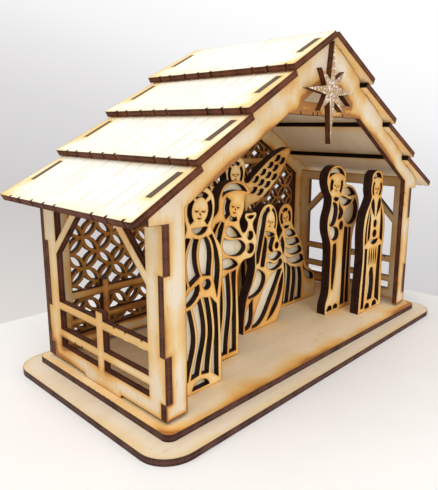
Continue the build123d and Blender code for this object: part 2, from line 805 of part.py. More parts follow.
def make_angel():
    right = [
        (15, 0), (14, 22), (10.4, 44), (9, 57), (10, 65), (17, 68), (27, 74), (37, 83), (44, 92),
        (47, 100), (38, 98.4), (26, 92), (15, 84), (9.6, 80), (6.8, 81.4), (7.6, 88), (5.6, 93.6),
    ]
    outline = right + [(0, 95.4)] + [(-x, z) for x, z in reversed(right)]
    openings = face_openings(0, 80.6, 10)
    for start, end in ((-40, 40), (56, 124), (140, 220)):
        openings.append(ring_part(0, 80.6, 10, 1.8, start, end))
    openings += [
        leaf([(-3.6, 78.6), (-1.8, 76.5), (0, 76), (1.8, 76.5), (3.6, 78.6)], [(0, 78.2)]),
        leaf([(0, 74.6), (-1.6, 66), (0, 57.6)], [(1.6, 66)]),
        leaf([(0, 54.6), (-2, 36), (-1.4, 16), (0, 3.6)], [(1.4, 16), (2, 36)]),
    ]
    pairs = feather_openings() + [
        leaf([(2.6, 76), (3.6, 70), (3.2, 63), (2.6, 57)], [(6.8, 61), (7.4, 68), (5.4, 74)]),
        leaf([(3.8, 54.6), (4.4, 38), (3.8, 20), (2.6, 3.6)], [(7, 8), (8, 26), (7, 44)]),
        leaf([(9, 45), (10.2, 30), (10, 14), (9.4, 3.6)], [(12.6, 8), (12.2, 22)]),
    ]
    for pair in pairs:
        openings.append(pair)
        openings.append([[(-x, z) for x, z in curve] for curve in pair])
    figure("angel", angel_place, angel_height, outline, openings)


make_angel()


def make_turbaned_bearer():
    outline = [
        (14.2, 0), (13.6, 24), (13, 44), (15.4, 57), (19.4, 66), (18.8, 76), (13, 84), (6.4, 86.8),
        (2.6, 88.4), (2.4, 94), (-3.6, 99.2), (-10.6, 100), (-16.6, 96.6), (-18.4, 90.4),
        (-16.4, 84.6), (-13.4, 80.4), (-13, 75), (-15.6, 67), (-15.8, 58.6), (-12.6, 50), (-11.4, 40),
        (-11.6, 27), (-12, 15), (-14.8, 7), (-15, 0),
    ]
    openings = face_openings(-7.6, 81.8, 11.2, -10)
    openings.append(ring_part(-7.6, 81.8, 11.2, 2.8, 158, 212, -10))
    openings.append(ring_part(-7.6, 81.8, 11.2, 2.2, -34, 30, -10))
    openings += [
        leaf([(-16, 92.6), (-11, 95), (-5.6, 95.2), (0.6, 92.8)],
             [(-2.4, 97.2), (-9.4, 98.7), (-14.8, 96.4)]),
        leaf([(-11, 79.6), (-9.4, 77.4), (-6.8, 77), (-4.8, 78.8)], [(-8, 79.6)]),
        leaf([(1, 84.4), (3.4, 80.6), (8.6, 79.2), (14.2, 80)], [(9.4, 84.4), (4.6, 85.6)]),
        leaf([(-2.8, 79.6), (-2.6, 75.8), (3.4, 73), (10.8, 76.6)], [(6, 77.4), (1.4, 79.2)]),
        leaf([(-11, 76.6), (-12.4, 71), (-14.2, 65), (-13.2, 60.8)],
             [(-8.4, 61.8), (-6.3, 66), (-6.2, 73.8)]),
        leaf([(-4.2, 76), (-4.3, 70), (-5, 64.6)], [(-1.4, 65), (1, 68.6), (-1.6, 72.4)]),
        leaf([(13.8, 77.4), (8.4, 72.6), (3.8, 70), (2.2, 65.4)],
             [(6.6, 60.4), (13.2, 60.2), (17.8, 66.4), (17.2, 72.6)]),
        leaf([(-13.9, 58.6), (-12, 53), (-8.4, 50.6), (-4.2, 52)], [(-4.1, 57.6), (-8.4, 60)]),
    ]
    webs = [(2.6, 2, 1.8, 2, 1.4), (7.8, 7.8, 7.4, 7.2, 7.2), (11.8, 11.6, 11.9, 12.2, 12.6)]
    openings += fold_openings(webs, (58.6, 57.6, 56.8), (3, 3, 3))
    webs = [(-9.6, -10.1, -10.1, -9.6), (-5, -4.2, -5, -6.6)]
    openings += fold_openings(webs, (47.8, 48.6), (17, 16))
    openings += [
        leaf([(-13, 1.7), (-11.4, 5), (-9, 5.2), (-7.2, 1.7)], [(-10, 1.7)]),
        leaf([(-5.4, 1.7), (-4.8, 4.6), (-2.6, 5), (-0.8, 1.7)], [(-3, 1.7)]),
    ]
    rings = [(-0.8, 60, 2.3, 3)]
    figure("turbaned_bearer", turbaned_place, turbaned_height, outline, openings, rings)


make_turbaned_bearer()


def make_crowned_bearer():
    outline = [
        (15, 0), (14.2, 20), (12.8, 40), (14, 54), (13.4, 64), (11.4, 72), (7.6, 78), (6.8, 82),
        (8, 87), (7.6, 92), (6.6, 97.4), (0.4, 100), (-5.8, 97.4), (-6.8, 92), (-7.2, 87), (-6, 82),
        (-7.8, 78), (-11.6, 72), (-13.8, 64), (-14, 54), (-13, 40), (-14.4, 20), (-15.2, 0),
    ]
    openings = face_openings(0.4, 82.4, 10.6, -6)
    for start, end in ((-44, 36), (144, 224)):
        openings.append(ring_part(0.4, 82.4, 10.6, 1.8, start, end, -6))
    openings += [
        leaf([(-4.6, 94.2), (0.4, 95.2), (5.4, 94.2)], [(3.8, 97.2), (0.4, 98.4), (-3, 97.2)]),
        leaf([(-3.8, 80.8), (-6, 77), (-4, 72), (-0.6, 67.8)], [(-1.2, 73.4), (-1.8, 77.4)]),
        leaf([(4.6, 80.8), (6.6, 77), (4.6, 72), (1.4, 67.8)], [(2, 73.4), (2.6, 77.4)]),
        leaf([(-4.8, 52), (-2.4, 49), (0.4, 48.2), (3.2, 49), (5.6, 52)], [(0.4, 51.6)]),
        band([(-2.4, 31.6), (-4.4, 24), (-4.8, 16), (-4.2, 8)],
             [(0.6, 31.6), (2.4, 24), (2.6, 16), (1.4, 8)]),
    ]
    webs = [(-7.6, -10.8, -12.2, -12.2), (-6.6, -8.2, -8.9, -8.6), (-4.4, -4.6, -4.7, -4.8)]
    openings += fold_openings(webs, (75.4, 72.2, 66.4), (49, 50.6, 53.8))
    openings += fold_openings([(6.3, 6.9, 6.9, 6.9), (8, 10.9, 12, 11.9)], (72.4, 74.8), (51.6, 49))
    openings += fold_openings([(-11.6, -11.6, -12.2, -12.9), (-7.2, -7, -7.4, -8)], (46.6, 46), (3, 3))
    openings += fold_openings([(6.2, 5.4, 5, 4.6), (11, 11, 11.6, 12.4)], (46, 46.6), (8, 3.4))
    openings += [
        leaf([(-6.6, 1.7), (-5.2, 5.4), (-2.6, 5.4), (-1, 1.7)], [(-3.8, 1.7)]),
        leaf([(3, 1.7), (4.4, 5.4), (7, 5.4), (8.6, 1.7)], [(5.8, 1.7)]),
    ]
    for place in (-4.6, -1.8, 1, 3.8):
        openings.append(leaf([(place, 46), (place - 0.7, 40), (place, 33.6)], [(place + 0.7, 40)]))
    rings = [(0.4, 63, 2.1, 2.7), (0.4, 56, 2.6, 2.7)]
    figure("crowned_bearer", crowned_place, crowned_height, outline, openings, rings)


make_crowned_bearer()
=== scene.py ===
import math
import random

import bpy
from mathutils import Matrix, Vector, geometry
from mathutils.kdtree import KDTree


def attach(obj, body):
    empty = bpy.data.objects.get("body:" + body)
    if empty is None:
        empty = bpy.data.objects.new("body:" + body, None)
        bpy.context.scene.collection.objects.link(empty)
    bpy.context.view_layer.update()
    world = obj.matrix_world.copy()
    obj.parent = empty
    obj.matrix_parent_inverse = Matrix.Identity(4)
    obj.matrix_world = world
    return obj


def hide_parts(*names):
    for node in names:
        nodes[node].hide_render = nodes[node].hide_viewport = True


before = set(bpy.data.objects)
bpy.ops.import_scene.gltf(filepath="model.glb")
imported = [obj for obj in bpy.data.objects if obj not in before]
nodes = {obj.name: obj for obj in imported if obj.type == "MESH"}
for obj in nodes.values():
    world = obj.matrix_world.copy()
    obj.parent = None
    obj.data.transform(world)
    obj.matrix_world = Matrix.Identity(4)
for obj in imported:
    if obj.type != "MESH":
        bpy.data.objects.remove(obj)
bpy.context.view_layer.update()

scene = bpy.context.scene
scene.view_settings.view_transform = "Standard"

upZ = Vector((0, 0, 1))
alongY = Vector((0, 1, 0))
perMetre = 1000  # sheets are worked out in millimetres


# camera at the photograph's viewing angle, worked out for a 438 x 490 image
view = {
    "eye": (-0.208111, -0.185829, 0.117247),
    "ahead": (0.74319, 0.63838, -0.20038),
    "up": (0.13894, 0.14571, 0.97952),
    "lens": 36.335,
    "sensor": 36,
    "shift": (-0.1, -0.0163),
    "nearest": 0.01,
}


def placeCamera():
    data = bpy.data.cameras.new("photoCamera")
    data.lens = view["lens"]
    data.sensor_width = view["sensor"]
    data.shift_x, data.shift_y = view["shift"]
    data.clip_start = view["nearest"]
    camera = bpy.data.objects.new("photoCamera", data)
    scene.collection.objects.link(camera)
    back = -Vector(view["ahead"]).normalized()
    right = Vector(view["up"]).cross(back).normalized()
    up = back.cross(right)
    turn = Matrix((right, up, back)).transposed().to_4x4()
    camera.matrix_world = Matrix.Translation(view["eye"]) @ turn
    scene.camera = camera


placeCamera()
print("camera placed")


# node helpers

def srgb(red, green, blue):
    def linear(value):
        value /= 255
        return value / 12.92 if value <= 0.04045 else ((value + 0.055) / 1.055) ** 2.4
    return (linear(red), linear(green), linear(blue), 1)


def addNode(tree, kind, inputs=None, **settings):
    node = tree.nodes.new(kind)
    for key, value in settings.items():
        setattr(node, key, value)
    for key, value in (inputs or {}).items():
        if isinstance(value, bpy.types.NodeSocket):
            tree.links.new(value, node.inputs[key])
        else:
            node.inputs[key].default_value = value
    return node


def calculate(tree, operation, first, second=0.0, clamp=False):
    inputs = {0: first, 1: second}
    node = addNode(tree, "ShaderNodeMath", inputs, operation=operation, use_clamp=clamp)
    return node.outputs[0]


def mixColour(tree, factor, first, second, blend="MIX"):
    inputs = {0: factor, 6: first, 7: second}  # a Mix node's sockets for colours
    node = addNode(tree, "ShaderNodeMix", inputs, data_type="RGBA", blend_type=blend)
    return node.outputs[2]


def remap(tree, value, low, high, toLow=0.0, toHigh=1.0):
    inputs = {
        "Value": value, "From Min": low, "From Max": high, "To Min": toLow, "To Max": toHigh,
    }
    node = addNode(tree, "ShaderNodeMapRange", inputs, interpolation_type="SMOOTHSTEP")
    return node.outputs["Result"]


def ramp(tree, factor, stops):
    node = addNode(tree, "ShaderNodeValToRGB", {"Fac": factor})
    bar = node.color_ramp
    while len(bar.elements) < len(stops):
        bar.elements.new(0.5)
    for element, (place, colour) in zip(bar.elements, stops):
        element.position = place
        element.color = colour
    return node.outputs["Color"]


def stretchedNoise(tree, place, scale, detail=4.0, roughness=0.55):
    spread = addNode(tree, "ShaderNodeMapping", {"Vector": place, "Scale": scale})
    inputs = {
        "Vector": spread.outputs[0], "Scale": 1.0, "Detail": detail, "Roughness": roughness,
    }
    return addNode(tree, "ShaderNodeTexNoise", inputs).outputs["Fac"]


def newGroup(name, inputs, outputs):
    tree = bpy.data.node_groups.new(name, "ShaderNodeTree")
    for label, kind in inputs:
        tree.interface.new_socket(label, in_out="INPUT", socket_type=kind)
    for label, kind in outputs:
        tree.interface.new_socket(label, in_out="OUTPUT", socket_type=kind)
    start = tree.nodes.new("NodeGroupInput").outputs
    end = tree.nodes.new("NodeGroupOutput").inputs
    return tree, start, end


# birch grain: broad figure, fibres and small dark pores that run along V of the sheet;
# each noise has its scale, detail and roughness
birch = {
    "figure": ((70, 7, 1), 3, 0.5), "fibre": ((1500, 38, 1), 3, 0.6),
    "cloud": ((26, 15, 1), 2, 0.5), "pore": ((1100, 130, 1), 1, 0.4),
    "fleck": ((700, 330, 1), 2, 0.5),
    "figureShare": 0.45, "fibreShare": 0.3, "cloudShare": 0.35, "toneRange": (0.4, 0.72),
    "poreRange": (0.66, 0.76), "poreDepth": 0.32, "poreColour": srgb(176, 132, 86),
    "fleckRange": (0.73, 0.78), "fleckDepth": 0.35, "fleckColour": srgb(138, 96, 58),
}


def makeBirchGrain():
    inputs = [("Place", "NodeSocketVector"), ("Pale", "NodeSocketColor"),
              ("Tan", "NodeSocketColor")]
    outputs = [("Colour", "NodeSocketColor"), ("Height", "NodeSocketFloat")]
    tree, start, end = newGroup("birchGrain", inputs, outputs)
    place = start["Place"]
    figure = stretchedNoise(tree, place, *birch["figure"])
    fibre = stretchedNoise(tree, place, *birch["fibre"])
    cloud = stretchedNoise(tree, place, *birch["cloud"])
    pore = stretchedNoise(tree, place, *birch["pore"])
    fleck = stretchedNoise(tree, place, *birch["fleck"])
    bands = calculate(tree, "MULTIPLY", figure, birch["figureShare"])
    fine = calculate(tree, "MULTIPLY", fibre, birch["fibreShare"])
    broad = calculate(tree, "MULTIPLY", cloud, birch["cloudShare"])
    total = calculate(tree, "ADD", calculate(tree, "ADD", bands, fine), broad)
    tone = remap(tree, total, *birch["toneRange"])
    colour = mixColour(tree, tone, start["Pale"], start["Tan"])
    pores = remap(tree, pore, *birch["poreRange"], 0.0, birch["poreDepth"])
    colour = mixColour(tree, pores, colour, birch["poreColour"], "MULTIPLY")
    flecks = remap(tree, fleck, *birch["fleckRange"], 0.0, birch["fleckDepth"])
    colour = mixColour(tree, flecks, colour, birch["fleckColour"], "MULTIPLY")
    tree.links.new(colour, end["Colour"])
    tree.links.new(calculate(tree, "SUBTRACT", fibre, pores), end["Height"])
    return tree


# the laser's scorch: a warm halo that fades away from a cut, and a black line at the cut itself
scorch = {
    "patch": ((30, 30, 1), 1, 0.4), "patchRange": (0.34, 0.66),
    "spread": (0.45, 1.55), "heat": (0.75, 1.25),
    "smoke": ((190, 190, 1), 3, 0.6), "smokeRange": (0.25, 0.75), "waver": (0.85, 1.15),
    "fade": 1.8, "charWidth": 0.32,
    "tints": (
        (0.0, (1, 1, 1, 1)), (0.14, (0.99, 0.915, 0.75, 1)), (0.38, (0.965, 0.78, 0.47, 1)),
        (0.66, (0.92, 0.63, 0.27, 1)), (0.86, (0.76, 0.44, 0.14, 1)),
        (1.0, (0.46, 0.22, 0.07, 1)),
    ),
}


def makeLaserScorch():
    inputs = [("Gap", "NodeSocketFloat"), ("Place", "NodeSocketVector"),
              ("Reach", "NodeSocketFloat"), ("Strength", "NodeSocketFloat")]
    outputs = [("Tint", "NodeSocketColor"), ("Char", "NodeSocketFloat")]
    tree, start, end = newGroup("laserScorch", inputs, outputs)
    patch = stretchedNoise(tree, start["Place"], *scorch["patch"])
    smoke = stretchedNoise(tree, start["Place"], *scorch["smoke"])
    spread = remap(tree, patch, *scorch["patchRange"], *scorch["spread"])
    waver = remap(tree, smoke, *scorch["smokeRange"], *scorch["waver"])
    reach = calculate(tree, "MULTIPLY", start["Reach"], spread)
    reach = calculate(tree, "MULTIPLY", reach, waver)
    away = calculate(tree, "DIVIDE", start["Gap"], reach)
    near = calculate(tree, "SUBTRACT", 1.0, away, clamp=True)
    halo = calculate(tree, "POWER", near, scorch["fade"])
    uneven = remap(tree, patch, *scorch["patchRange"], *scorch["heat"])
    heat = calculate(tree, "MULTIPLY", start["Strength"], uneven)
    halo = calculate(tree, "MULTIPLY", halo, heat, clamp=True)
    tree.links.new(ramp(tree, halo, scorch["tints"]), end["Tint"])
    away = calculate(tree, "DIVIDE", start["Gap"], scorch["charWidth"])
    char = calculate(tree, "SUBTRACT", 1.0, away, clamp=True)
    tree.links.new(char, end["Char"])
    return tree


birchGrain = makeBirchGrain()
laserScorch = makeLaserScorch()


def startMaterial(name, finish):
    material = bpy.data.materials.new(name)
    material.use_nodes = True
    tree = material.node_tree
    shader = tree.nodes["Principled BSDF"]
    shader.inputs["Roughness"].default_value = finish["roughness"]
    shader.inputs["Specular IOR Level"].default_value = finish["specular"]
    return material, tree, shader


def addBump(tree, shader, height, finish):
    inputs = {"Height": height, "Strength": finish["bump"], "Distance": finish["bumpHeight"]}
    bump = addNode(tree, "ShaderNodeBump", inputs)
    tree.links.new(bump.outputs[0], shader.inputs["Normal"])


def floatMark(tree, name):
    return addNode(tree, "ShaderNodeAttribute", attribute_name=name).outputs["Fac"]


def sheetPlace(tree):
    return addNode(tree, "ShaderNodeUVMap", uv_map="sheetUV").outputs["UV"]


# face of a laser-cut sheet
faceFinish = {"roughness": 0.62, "specular": 0.3, "bump": 0.12, "bumpHeight": 0.0002}


def makeFace(name, look):
    material, tree, shader = startMaterial(name, faceFinish)
    place = sheetPlace(tree)
    grain = addNode(tree, "ShaderNodeGroup", {
        "Place": place, "Pale": look["pale"], "Tan": look["tan"],
    }, node_tree=birchGrain)
    burn = addNode(tree, "ShaderNodeGroup", {
        "Gap": floatMark(tree, "edgeGap"), "Place": place, "Reach": look["reach"],
        "Strength": floatMark(tree, "burnt"),
    }, node_tree=laserScorch)
    colour = mixColour(tree, 1.0, grain.outputs["Colour"], burn.outputs["Tint"], "MULTIPLY")
    colour = mixColour(tree, burn.outputs["Char"], colour, look["char"])
    if "engraved" in look:
        colour = mixColour(tree, floatMark(tree, "engraved"), colour, look["engraved"])
    tree.links.new(colour, shader.inputs["Base Color"])
    addBump(tree, shader, grain.outputs["Height"], faceFinish)
    return material


# charred cut edge with the plies showing faintly
edgeFinish = {
    "roughness": 0.6, "specular": 0.12, "bump": 0.25, "bumpHeight": 0.0003,
    "soot": ((130, 130, 1), 4, 0.65), "streak": ((1500, 1500, 1), 2, 0.5),
    "sootShare": 0.9, "streakShare": 0.3, "coreShare": 0.14, "coreRange": (0.1, 0.2),
    "toneRange": (0.36, 0.86), "paintedLightRange": (0.3, 0.8), "paintedLightBlur": 0.02,
}


def makeEdge(name, look, paintedLight=None):
    material, tree, shader = startMaterial(name, edgeFinish)
    place = sheetPlace(tree)
    soot = stretchedNoise(tree, place, *edgeFinish["soot"])
    streak = stretchedNoise(tree, place, *edgeFinish["streak"])
    off = calculate(tree, "SUBTRACT", floatMark(tree, "depth"), 0.5)  # from the middle ply
    layer = calculate(tree, "ABSOLUTE", off)
    core = remap(tree, layer, *edgeFinish["coreRange"], edgeFinish["coreShare"], 0.0)
    fine = calculate(tree, "MULTIPLY", streak, edgeFinish["streakShare"])
    broad = calculate(tree, "MULTIPLY", soot, edgeFinish["sootShare"])
    mixed = calculate(tree, "ADD", calculate(tree, "ADD", core, fine), broad)
    tone = remap(tree, mixed, *edgeFinish["toneRange"])
    colour = mixColour(tree, tone, look["edgeDark"], look["edgeWarm"])
    if paintedLight:
        # painted light on the cuts that look up by a certain amount: a painted highlight on the
        # frames' tab ends and painted shade on the planks' lapped cuts
        facing = addNode(tree, "ShaderNodeNewGeometry").outputs["Normal"]
        rise = addNode(tree, "ShaderNodeSeparateXYZ", {"Vector": facing}).outputs["Z"]
        blur = edgeFinish["paintedLightBlur"]
        above, beyond = [remap(tree, rise, at - blur, at + blur) for at in paintedLight["rise"]]
        band = calculate(tree, "SUBTRACT", above, beyond)
        patchy = remap(tree, mixed, *edgeFinish["paintedLightRange"], paintedLight["least"], 1.0)
        paintedLightMask = calculate(tree, "MULTIPLY", band, patchy)
        colour = mixColour(tree, paintedLightMask, colour, paintedLight["colour"])
    tree.links.new(colour, shader.inputs["Base Color"])
    addBump(tree, shader, streak, edgeFinish)
    return material


# a flat sheet made anew from the outline of a CAD node, with the distance to its cuts kept
# on its points
meshing = {
    "sameWay": 0.95,  # how far a face of the CAD node has to look the sheet's way
    "weld": 1e6, "merge": 1e-5, "markStep": 0.4, "webGap": 0.15,
    "gridStart": (0.37, 0.41), "gridClear": 0.55, "gridCoarse": 4,
}


def ring(face):
    return zip(face, face[1:] + face[:1])


def capEdges(mesh, facing):
    corners, found, edges = [], {}, {}

    def corner(co):
        key = tuple(round(value * meshing["weld"]) for value in co)
        if key not in found:
            found[key] = len(corners)
            corners.append(co.copy())
        return found[key]

    for face in mesh.polygons:
        if face.normal.dot(facing) < meshing["sameWay"]:
            continue
        for a, b in ring([corner(mesh.vertices[v].co) for v in face.vertices]):
            if (b, a) in edges:
                del edges[(b, a)]
            else:
                edges[(a, b)] = True
    return corners, list(edges)


def fineRim(points, edges, step):
    rim = []
    for a, b in edges:
        count = max(1, math.ceil((points[b] - points[a]).length / step))
        chain = [a]
        for k in range(1, count):
            chain.append(len(points))
            points.append(points[a].lerp(points[b], k / count))
        chain.append(b)
        rim += zip(chain, chain[1:])
    return rim


def cutTree(points, rim):
    marks = []
    for a, b in rim:
        count = max(1, math.ceil((points[b] - points[a]).length / meshing["markStep"]))
        marks += [points[a].lerp(points[b], k / count) for k in range(count)]
    tree = KDTree(len(marks))
    for k, mark in enumerate(marks):
        tree.insert((mark.x, mark.y, 0), k)
    tree.balance()
    return tree


def cutGap(tree, point):
    return tree.find((point.x, point.y, 0))[2]


def fillPoints(points, tree, step, band):
    # close points near the cuts, every fourth one further in
    low = Vector((min(p.x for p in points), min(p.y for p in points)))
    high = Vector((max(p.x for p in points), max(p.y for p in points)))
    startX, startY = meshing["gridStart"]
    coarse = meshing["gridCoarse"]
    extra = []
    for row in range(int((high.y - low.y) / step) + 1):
        for column in range(int((high.x - low.x) / step) + 1):
            shift = 0.5 * (row % 2)
            point = low + Vector(((column + shift + startX) * step, (row + startY) * step))
            gap = cutGap(tree, point)
            if gap < meshing["gridClear"] * step:
                continue
            if gap < band or (row % coarse == 0 and column % coarse == 0):
                extra.append(point)
    return extra


def insideFaces(faces, rim):
    owner = {}
    for index, face in enumerate(faces):
        for edge in ring(face):
            owner[edge] = index
    inside = {owner[edge] for edge in rim if edge in owner}
    waiting = list(inside)
    while waiting:
        for a, b in ring(faces[waiting.pop()]):
            if (a, b) in rim or (b, a) in rim:
                continue
            other = owner.get((b, a))
            if other is not None and other not in inside:
                inside.add(other)
                waiting.append(other)
    return [faces[index] for index in sorted(inside)]


def cutFaces(points, rim, lines):
    # triangles of the sheet itself, without those in its openings
    flat, _, faces, origins, _, _ = geometry.delaunay_2d_cdt(
        points, rim + lines, [], 0, meshing["merge"])
    renamed = {old: index for index, olds in enumerate(origins) for old in olds}
    cuts = {(renamed[a], renamed[b]) for a, b in rim}
    return flat, insideFaces([list(face) for face in faces], cuts), cuts, renamed


def webMiddles(flat, faces, cuts, tree):
    # half-way points across narrow webs, so that no triangle has all its corners on cuts
    onCut = {v for edge in cuts for v in edge}
    middles, seen = [], set(cuts)
    for face in faces:
        for a, b in ring(face):
            if a in onCut and b in onCut and (a, b) not in seen and (b, a) not in seen:
                seen.add((a, b))
                middle = (flat[a] + flat[b]) / 2
                if cutGap(tree, middle) > meshing["webGap"]:
                    middles.append(middle)
    return middles


def ease(value, low, high):
    t = min(max((value - low) / (high - low), 0), 1)
    return t * t * (3 - 2 * t)


def unwrapSheet(mesh, spots, name, turned):
    seed = random.Random(name)
    drift = Vector((seed.uniform(0, 3), seed.uniform(0, 3)))
    uv = mesh.uv_layers.new(name="sheetUV")
    for loop in mesh.loops:
        spot = spots[loop.vertex_index % len(spots)] / perMetre
        spot = Vector((spot.y, spot.x)) if turned else spot
        uv.data[loop.index].uv = spot + drift


def makeSheet(name, facing, upright, look, grooves=None):
    source = nodes[name].data
    facing = facing.normalized()
    across = upright.cross(facing)

    # flat triangles, cut once to find the narrow webs and once more with points across them
    corners, edges = capEdges(source, facing)
    points = [Vector((co.dot(across), co.dot(upright))) * perMetre for co in corners]
    rim = fineRim(points, edges, look["step"])
    tree = cutTree(points, rim)
    lines, sunk = grooves(points, rim, tree) if grooves else ([], {})
    points += fillPoints(points, tree, look["step"], look["band"])
    flat, faces, cuts, _ = cutFaces(points, rim, lines)
    points += webMiddles(flat, faces, cuts, tree)
    flat, faces, cuts, renamed = cutFaces(points, rim, lines)
    used = sorted({v for face in faces for v in face})
    slot = {v: k for k, v in enumerate(used)}
    spots = [flat[v] for v in used]
    lowered = {renamed[k]: depth for k, depth in sunk.items()}
    count = len(used)

    # upper face, under face and the cuts between them
    levels = [vertex.co.dot(facing) for vertex in source.vertices]
    top, bottom = max(levels), min(levels)
    places = [across * (s.x / perMetre) + upright * (s.y / perMetre) for s in spots]
    verts = [place + facing * (top - lowered.get(v, 0) / perMetre)
             for v, place in zip(used, places)]
    verts += [place + facing * bottom for place in places]
    polys = [[slot[v] for v in face] for face in faces]
    polys += [[slot[v] + count for v in reversed(face)] for face in faces]
    sides = [0] * len(faces) + [2] * len(faces) + [1] * len(cuts)
    polys += [[slot[b], slot[a], slot[a] + count, slot[b] + count] for a, b in sorted(cuts)]
    mesh = bpy.data.meshes.new(name + "_sheet")
    mesh.from_pydata(verts, [], polys)
    for side in ("face", "edge", "under"):
        mesh.materials.append(look.get(side, look["face"]))
    mesh.polygons.foreach_set("material_index", sides)
    unwrapSheet(mesh, spots, name, look.get("grainAcross", False))

    # the burn of each side, stronger where the look says that the cut ran hot; at the frames' feet
    # it also carries painted shade
    gaps = [cutGap(tree, spot) for spot in spots]
    hot = look.get("hot", lambda spot: 1.0)
    heats = [look["burn"] * hot(spot) for spot in spots]
    underHeats = [look["underBurn"]] * count if "underBurn" in look else heats
    marks = {
        "edgeGap": gaps + gaps, "burnt": heats + underHeats,
        "depth": [0.0] * count + [1.0] * count,
    }
    if grooves:
        marks["engraved"] = [1.0 if v in lowered else 0.0 for v in used] + [0.0] * count
    for label, values in marks.items():
        mesh.attributes.new(label, "FLOAT", "POINT").data.foreach_set("value", values)
    mesh.update()
    piece = bpy.data.objects.new(name + "_sheet", mesh)
    scene.collection.objects.link(piece)
    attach(piece, "root")
    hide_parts(name)


sootBlack = srgb(52, 32, 27)

# base and floor plates
plates = {
    "pale": srgb(243, 228, 204), "tan": srgb(231, 211, 180), "char": sootBlack,
    "reach": 5.0, "burn": 0.24, "edgeDark": srgb(46, 28, 26), "edgeWarm": srgb(98, 66, 58),
    "step": 2.0, "band": 11.0, "grainAcross": True, "slot": "frame_plywood",
}
plates["face"] = makeFace("baseFace", plates)
plates["edge"] = makeEdge("plateEdge", plates)
makeSheet("base_plate", upZ, alongY, plates)

floorPlate = dict(
    plates, pale=srgb(252, 231, 198), tan=srgb(241, 215, 176), reach=14.0, burn=1.0,
    band=19.0, frontEdge=-50.7, frontHeat=1.05, cooling=0.75, coolRange=(2, 15),
)


def floorHeat(spot):
    # hottest along the front edge
    inward = spot.y - floorPlate["frontEdge"]
    return floorPlate["frontHeat"] - floorPlate["cooling"] * ease(inward, *floorPlate["coolRange"])


floorPlate["hot"] = floorHeat
floorPlate["face"] = makeFace("floorFace", floorPlate)
makeSheet("floor_plate", upZ, alongY, floorPlate)
print("plates made")

# front and back frames; roofLine is the height that the sloped edges aim at above the middle
frames = {
    "pale": srgb(233, 219, 199), "tan": srgb(221, 202, 174), "char": sootBlack,
    "reach": 6.5, "burn": 0.88, "edgeDark": srgb(46, 25, 19), "edgeWarm": srgb(104, 62, 46),
    # tab ends that look up are painted a lighter grey-brown, a painted highlight
    "tabEndHighlight": {"colour": srgb(100, 84, 72), "rise": (0.8, 0.94), "least": 0.5},
    # the feet burn hotter: real scorch, made darker still as painted shade low on the legs
    "footHeat": 2.1, "footCooling": 1.1, "footRange": (12, 36),
    "gableHeat": 0.45, "gableRange": (80, 110),
    "roofLine": 173.5, "roofFall": 0.772, "roofHeat": 0.45, "roofRange": (6, 18),
    "step": 1.8, "band": 13.0, "slot": "frame_plywood",
}


def frameScorchAndShade(spot):
    # hotter at the feet and in the gable, cooler along the roof line; the feet's extra heat is
    # real scorch darkened further as painted shade low on the legs
    below = frames["roofLine"] - frames["roofFall"] * abs(spot.x) - spot.y
    heat = frames["footHeat"] - frames["footCooling"] * ease(spot.y, *frames["footRange"])
    heat += frames["gableHeat"] * ease(spot.y, *frames["gableRange"])
    roofHeat = frames["roofHeat"]
    return heat * (roofHeat + (1 - roofHeat) * ease(below, *frames["roofRange"]))


frames["hot"] = frameScorchAndShade
frames["face"] = makeFace("frameFace", frames)
frames["edge"] = makeEdge("frameEdge", frames, frames["tabEndHighlight"])
makeSheet("front_frame", -alongY, upZ, frames)
backFrame = dict(frames, pale=srgb(252, 238, 212), tan=srgb(242, 221, 186), burn=0.8)
backFrame["face"] = makeFace("backFrameFace", backFrame)
makeSheet("back_frame", -alongY, upZ, backFrame)
print("frames made")

# side walls
walls = dict(
    frames, pale=srgb(240, 224, 200), tan=srgb(229, 207, 176), burn=0.58, footHeat=2.0,
    footRange=(10, 30),
)
walls["hot"] = lambda spot: walls["footHeat"] - ease(spot.y, *walls["footRange"])
walls["face"] = makeFace("wallFace", walls)
makeSheet("left_wall", Vector((-1, 0, 0)), upZ, walls)
makeSheet("right_wall", Vector((1, 0, 0)), upZ, walls)
print("walls made")

# lattice panel, browned all over by its close cuts
lattice = {
    "pale": srgb(206, 160, 94), "tan": srgb(178, 130, 68), "char": srgb(104, 64, 26),
    "reach": 4.5, "burn": 0.5, "edgeDark": srgb(44, 25, 12), "edgeWarm": srgb(104, 66, 34),
    "step": 1.6, "band": 7.0, "slot": "lattice_plywood",
}
lattice["face"] = makeFace("latticeFace", lattice)
lattice["edge"] = makeEdge("latticeEdge", lattice)
makeSheet("back_lattice", -alongY, upZ, lattice)
print("lattice made")

# roof planks with engraved board lines, and black cuts where one laps over the next: charred, and
# darkened further as painted shade
planks = {
    "pale": srgb(255, 252, 241), "tan": srgb(253, 246, 228), "char": sootBlack,
    "underPale": srgb(255, 239, 212), "underTan": srgb(248, 226, 190), "underBurn": 0.4,
    "reach": 6.5, "burn": 0.55, "edgeDark": srgb(50, 25, 16), "edgeWarm": srgb(112, 64, 42),
    # lapped cuts that look up are painted near black: char with painted shade over it
    "lapShade": {"colour": srgb(14, 8, 6), "rise": (0.3, 0.9), "least": 0.9},
    "endHeat": 1.2, "cooling": 0.95, "coolRange": (3, 15), "middle": 1.9, "halfLength": 52,
    "engraved": srgb(192, 146, 90), "pitch": 9.1, "firstLine": 5.3, "lineDepth": 0.25,
    "lineWidth": 0.9, "lineWander": 0.05, "lineClear": 1.0,
    "dash": (8, 22), "dashGap": (1.2, 4), "dashStart": 3, "dashLeast": 4, "dashStep": 2.5,
    "rows": 4, "step": 2.0, "band": 10.0, "grainAcross": True, "slot": "roof_plywood",
}


def plankHeat(spot):
    # hotter at the plank's ends
    inward = planks["halfLength"] - abs(spot.y - planks["middle"])
    return planks["endHeat"] - planks["cooling"] * ease(inward, *planks["coolRange"])


